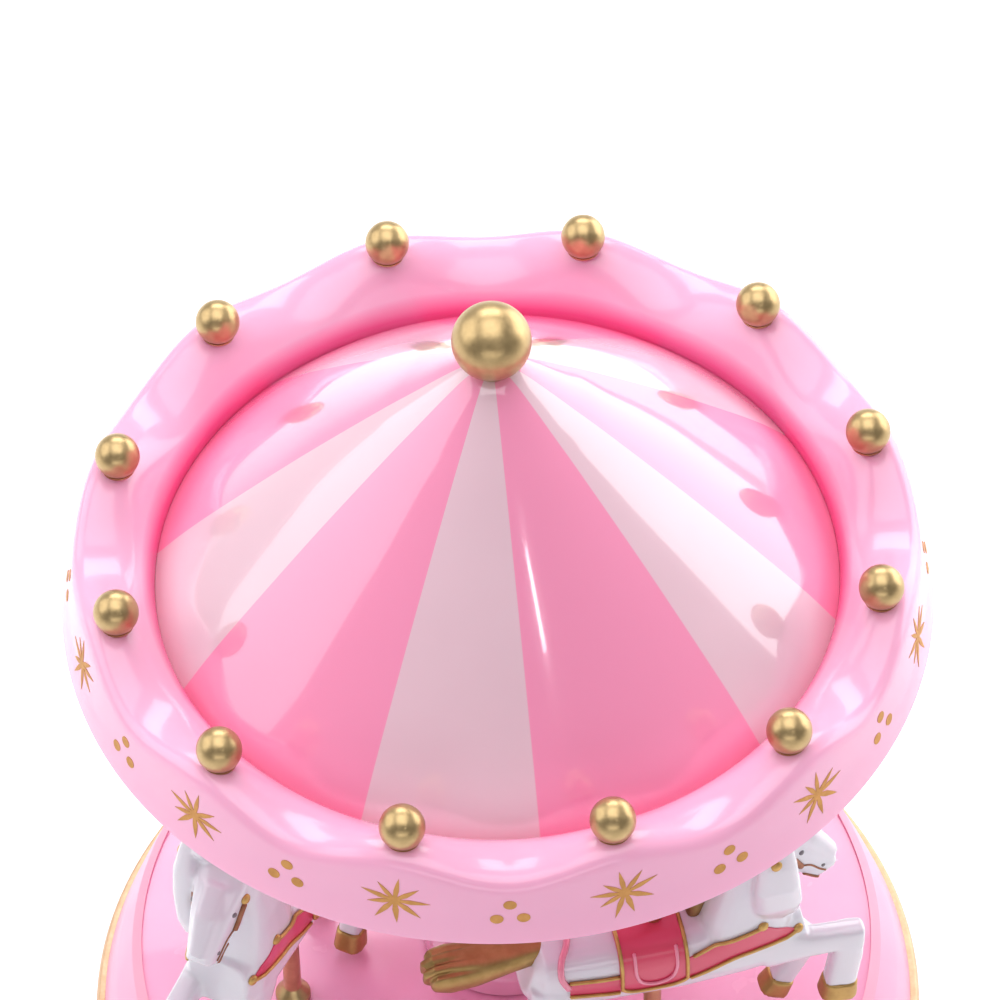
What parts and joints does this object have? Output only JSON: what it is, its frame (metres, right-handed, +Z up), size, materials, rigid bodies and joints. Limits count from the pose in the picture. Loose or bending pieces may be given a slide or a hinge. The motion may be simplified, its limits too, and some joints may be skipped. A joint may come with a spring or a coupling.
{
  "type": "carousel music box",
  "caption": "Wind-up carousel music box: horses on poles under a scalloped, bead-trimmed canopy turn on a round base that holds a comb movement and a winding key.",
  "frame": {"origin": "centre of the underside of the foot ring, on the carousel's axis", "axes": "+Z up along the carousel's axis; -Y is the side that faces the viewer; the cylinder's axis lies along +X"},
  "size_m": [0.105, 0.105, 0.17],
  "materials": {
    "roof_gloss": "high-gloss moulded plastic in pink and white stripes",
    "pink_gloss": "high-gloss light pink moulded plastic",
    "pink_satin": "satin light pink plastic",
    "deck_pink": "gloss deeper pink plastic",
    "gold_satin": "satin metallic gold paint",
    "horse_white": "gloss white resin with painted pink and gold trim",
    "foam_black": "matte anti-slip foam",
    "steel": "bright steel",
    "brass": "plain brass",
    "fan_black": "satin black plastic"
  },
  "bodies": {
    "base": {"base_shell": "pink_gloss", "base_rim_band": "gold_satin", "base_foot_band": "gold_satin", "foot_ring": "foam_black", "bottom_cover": "pink_satin", "cover_screw_1": "steel", "cover_screw_2": "steel", "cover_screw_3": "steel", "movement_spacer_1": "brass", "movement_spacer_2": "brass", "movement_spacer_3": "brass", "bedplate": "steel", "barrel_bridge": "brass", "governor_bracket": "brass", "outer_bracket": "brass", "comb": "steel", "comb_bed": "brass", "comb_screw_1": "steel", "comb_screw_2": "steel"},
    "carousel": {"canopy_roof": "roof_gloss", "canopy_brim": "pink_gloss", "centre_column": "pink_gloss", "canopy_ceiling": "pink_satin", "turntable": "deck_pink", "finial": "gold_satin", "crown_bead_01": "gold_satin", "crown_bead_02": "gold_satin", "crown_bead_03": "gold_satin", "crown_bead_04": "gold_satin", "crown_bead_05": "gold_satin", "crown_bead_06": "gold_satin", "crown_bead_07": "gold_satin", "crown_bead_08": "gold_satin", "crown_bead_09": "gold_satin", "crown_bead_10": "gold_satin", "crown_bead_11": "gold_satin", "crown_bead_12": "gold_satin", "column_foot_ring": "gold_satin", "column_top_ring": "gold_satin", "pole_1": "gold_satin", "pole_2": "gold_satin", "pole_3": "gold_satin", "turntable_trim": "gold_satin", "horse_1": "horse_white", "horse_2": "horse_white", "horse_3": "horse_white", "mainspring": "steel", "output_shaft": "steel", "spring_barrel": "brass", "barrel_lid": "brass"},
    "cylinder": {"pinned_cylinder": "brass", "cylinder_arbor": "steel", "cylinder_wheel": "brass"},
    "idler": {"idler_wheel": "brass"},
    "governor": {"governor_arbor": "steel", "air_brake_fan": "fan_black"},
    "winder": {"winding_arbor": "steel", "winding_key": "gold_satin"}
  },
  "joints": [
    {"name": "carousel_spin", "type": "hinge", "parent": "base", "child": "carousel", "pos_m": [0, 0, 0.05], "axis": [0, 0, 1], "continuous": true},
    {"name": "cylinder_spin", "type": "hinge", "parent": "base", "child": "cylinder", "pos_m": [0.0222, 0, 0.0333], "axis": [1, 0, 0], "continuous": true},
    {"name": "idler_spin", "type": "hinge", "parent": "base", "child": "idler", "pos_m": [0.034, 0.01135, 0.0333], "axis": [1, 0, 0], "continuous": true},
    {"name": "governor_spin", "type": "hinge", "parent": "base", "child": "governor", "pos_m": [0.029, 0.02202, 0.03718], "axis": [1, 0, 0], "continuous": true},
    {"name": "winding_key_turn", "type": "hinge", "parent": "base", "child": "winder", "pos_m": [0, 0, 0.0077], "axis": [0, 0, 1], "continuous": true}
  ],
  "couplings": [
    {"joint": "cylinder_spin", "follows": "carousel_spin", "ratio": 3},
    {"joint": "idler_spin", "follows": "carousel_spin", "ratio": -9},
    {"joint": "governor_spin", "follows": "carousel_spin", "ratio": 27}
  ]
}
